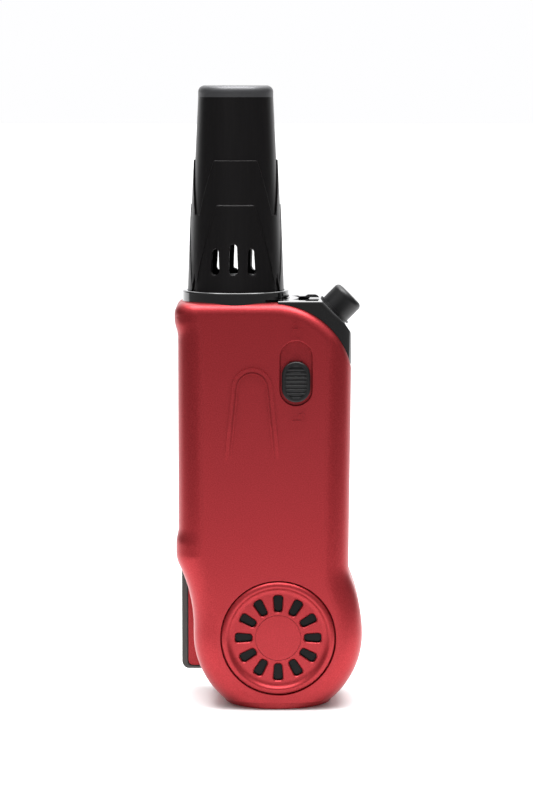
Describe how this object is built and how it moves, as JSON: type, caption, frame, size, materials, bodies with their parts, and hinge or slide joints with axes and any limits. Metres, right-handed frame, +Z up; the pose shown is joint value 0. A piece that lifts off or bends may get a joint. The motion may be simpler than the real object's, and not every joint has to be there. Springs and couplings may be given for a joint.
{
  "type": "butane torch",
  "caption": "Handheld butane micro torch with a tapered flame guard, slanting push igniter, lock slider, round vent grille and fold-out rear foot.",
  "frame": {"origin": "centre of the round base on the surface it stands on", "axes": "+Z up, the face with the round grille looks along -Y, the igniter button is on the +X side"},
  "size_m": [0.0501, 0.0359, 0.1658],
  "materials": {
    "body_paint": "satin metallic red lacquer",
    "gloss_black": "polished moulded black",
    "satin_black": "satin moulded black",
    "foot_grey": "fine matte dark grey",
    "blackened_steel": "satin black heat-proof coat",
    "rim_steel": "dark satin rolled rim",
    "burner_steel": "bright turned steel",
    "brass": "turned brass",
    "copper_tube": "drawn copper",
    "inner_plastic": "moulded dark plastic",
    "felt": "pressed felt",
    "tank_plastic": "natural translucent nylon",
    "ceramic": "glazed ceramic",
    "wire_cover": "white silicone sleeve",
    "seal_rubber": "black nitrile"
  },
  "bodies": {
    "housing": {"base_cap": "body_paint", "burner_head": "burner_steel", "burner_mount": "inner_plastic", "burner_tube": "burner_steel", "button_bezel": "satin_black", "button_spring": "burner_steel", "collar_ring": "gloss_black", "electrode": "burner_steel", "electrode_ceramic": "ceramic", "flame_tube": "blackened_steel", "foot_pin": "burner_steel", "front_shell": "body_paint", "fuel_filter": "felt", "fuel_tank": "tank_plastic", "gas_tube": "copper_tube", "grille_backing": "gloss_black", "grille_cap": "body_paint", "grille_disc": "body_paint", "guard_lip": "rim_steel", "guard_sleeve": "blackened_steel", "ignition_wire": "wire_cover", "jet": "brass", "jet_holder": "brass", "lever_pin": "burner_steel", "piezo_body": "inner_plastic", "piezo_cradle": "inner_plastic", "rear_shell": "body_paint", "refill_seal": "seal_rubber", "refill_valve": "brass", "shell_screws": "burner_steel", "tank_lid": "tank_plastic", "top_insert": "gloss_black", "valve_body": "brass", "valve_spring": "burner_steel"},
    "igniter": {"igniter_button": "satin_black", "piezo_plunger": "inner_plastic", "push_bar": "inner_plastic"},
    "valve_lever": {"gas_lever": "inner_plastic"},
    "valve_stem": {"valve_stem": "brass"},
    "lock": {"lock_slider": "satin_black", "lock_plate": "inner_plastic"},
    "flame_control": {"flame_lever": "gloss_black"},
    "foot": {"foot_frame": "foot_grey", "foot_inlay_front": "body_paint", "foot_inlay_rear": "body_paint"},
    "refill": {"refill_stem": "brass"}
  },
  "joints": [
    {"name": "igniter_push", "type": "slide", "parent": "housing", "child": "igniter", "axis": [-0.7071, 0, -0.7071], "range_m": [0, 0.004], "stiffness_N_per_m": 1500, "springref_m": -0.0015, "deforming": ["button_spring"]},
    {"name": "gas_lever_turn", "type": "hinge", "parent": "housing", "child": "valve_lever", "pos_m": [-0.0066, 0, 0.0752], "axis": [0, 1, 0], "range_deg": [0, 12]},
    {"name": "valve_stem_lift", "type": "slide", "parent": "housing", "child": "valve_stem", "axis": [0, 0, 1], "range_m": [0, 0.0009], "deforming": ["valve_spring"]},
    {"name": "lock_slide", "type": "slide", "parent": "housing", "child": "lock", "axis": [0, 0, 1], "range_m": [0, 0.005]},
    {"name": "flame_lever_turn", "type": "hinge", "parent": "housing", "child": "flame_control", "pos_m": [-0.0113, 0, 0.107], "axis": [0, 0, 1], "range_deg": [-20, 20]},
    {"name": "foot_fold", "type": "hinge", "parent": "housing", "child": "foot", "pos_m": [0, 0.0173, 0.0061], "axis": [-1, 0, 0], "range_deg": [0, 93]},
    {"name": "refill_stem_push", "type": "slide", "parent": "housing", "child": "refill", "axis": [0, 0, 1], "range_m": [0, 0.0012], "stiffness_N_per_m": 800, "springref_m": -0.001}
  ],
  "couplings": [
    {"joint": "gas_lever_turn", "follows": "igniter_push", "rad_per_m": 52.36},
    {"joint": "valve_stem_lift", "follows": "igniter_push", "ratio": 0.225}
  ]
}
